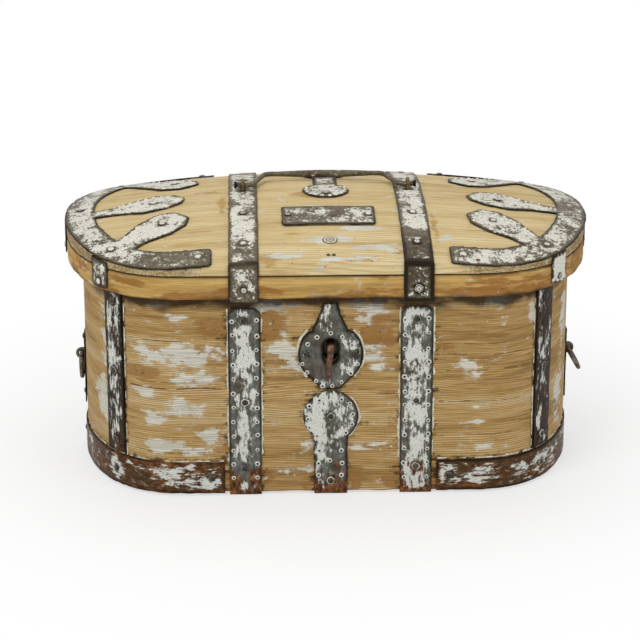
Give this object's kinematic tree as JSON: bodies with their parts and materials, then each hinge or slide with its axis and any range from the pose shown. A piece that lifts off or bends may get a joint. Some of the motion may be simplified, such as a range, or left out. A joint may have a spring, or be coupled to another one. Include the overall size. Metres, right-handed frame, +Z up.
{
  "type": "strongbox",
  "caption": "Oval bentwood strongbox with a domed plank lid on strap hinges, forged iron bands and leaf irons, a bail handle, end rings and a turn-pin latch.",
  "frame": {"origin": "on the floor below the middle of the box", "axes": "+Z up, +X to the right seen from the front, the front with the lock faces -Y"},
  "size_m": [0.7094, 0.4274, 0.3763],
  "materials": {
    "wall_wood": "scraped old pine with grey-white paint left in patches",
    "lid_wood": "scraped pale pine boards, open grain",
    "rim_wood": "scraped honey pine, worn brown at the edges",
    "lid_iron": "forged warm grey iron with cream paint flakes",
    "strap_iron": "forged grey iron with white paint left on it",
    "corner_iron": "near black forged iron with white flakes",
    "rusty_iron": "rusted forged iron",
    "latch_iron": "dark forged iron",
    "nail_iron": "hand-forged nail heads, faceted"
  },
  "bodies": {
    "box": {"back_strap_left": "strap_iron", "back_strap_right": "strap_iron", "base_band_left": "rusty_iron", "base_band_right": "rusty_iron", "bolt_guide_left": "latch_iron", "bolt_guide_right": "latch_iron", "bottom_board": "wall_wood", "box_nails": "nail_iron", "corner_band_back_left": "corner_iron", "corner_band_back_right": "corner_iron", "corner_band_front_left": "corner_iron", "corner_band_front_right": "corner_iron", "front_strap_left": "strap_iron", "front_strap_right": "strap_iron", "hinge_pin_left": "rusty_iron", "hinge_pin_right": "rusty_iron", "latch_plate": "latch_iron", "lock_plate": "strap_iron", "lock_strap": "strap_iron", "ring_plate_left": "rusty_iron", "ring_plate_right": "rusty_iron", "ring_staple_left": "rusty_iron", "ring_staple_right": "rusty_iron", "wall": "wall_wood"},
    "lid": {"centre_plate": "lid_iron", "handle_staple_left": "lid_iron", "handle_staple_right": "lid_iron", "keeper": "latch_iron", "lid_end_band_left": "lid_iron", "lid_end_band_right": "lid_iron", "lid_nails": "nail_iron", "lid_plank_back": "lid_wood", "lid_plank_front": "lid_wood", "lid_plank_middle": "lid_wood", "lid_rim": "rim_wood", "lid_strap_left": "lid_iron", "lid_strap_right": "lid_iron", "plain_plate": "lid_iron", "rim_clip_back_left": "lid_iron", "rim_clip_back_right": "lid_iron", "rim_clip_end_left": "lid_iron", "rim_clip_end_right": "lid_iron", "rim_clip_front_left": "lid_iron", "rim_clip_front_right": "lid_iron"},
    "top_handle": {"top_handle": "lid_iron"},
    "ring_left": {"ring_left": "rusty_iron"},
    "ring_right": {"ring_right": "rusty_iron"},
    "drop_pin": {"drop_pin": "rusty_iron", "latch_arm": "latch_iron"},
    "bolt": {"bolt": "latch_iron"}
  },
  "joints": [
    {"name": "lid_hinge", "type": "hinge", "parent": "box", "child": "lid", "pos_m": [0, 0.207, 0.2685], "axis": [-1, 0, 0], "range_deg": [0, 105]},
    {"name": "handle_swing", "type": "hinge", "parent": "lid", "child": "top_handle", "pos_m": [0, 0.016, 0.36726], "axis": [1, 0, 0], "range_deg": [0, 165]},
    {"name": "ring_left_swing", "type": "hinge", "parent": "box", "child": "ring_left", "pos_m": [-0.336, 0, 0.134], "axis": [0, 1, 0], "range_deg": [0, 140]},
    {"name": "ring_right_swing", "type": "hinge", "parent": "box", "child": "ring_right", "pos_m": [0.336, 0, 0.134], "axis": [0, -1, 0], "range_deg": [-29, 110]},
    {"name": "pin_turn", "type": "hinge", "parent": "box", "child": "drop_pin", "pos_m": [0, -0.19, 0.208], "axis": [0, 1, 0], "range_deg": [0, 12.5]},
    {"name": "bolt_slide", "type": "slide", "parent": "box", "child": "bolt", "axis": [1, 0, 0], "range_m": [0, 0.014]}
  ],
  "couplings": [
    {"joint": "bolt_slide", "follows": "pin_turn", "m_per_rad": 0.064}
  ]
}
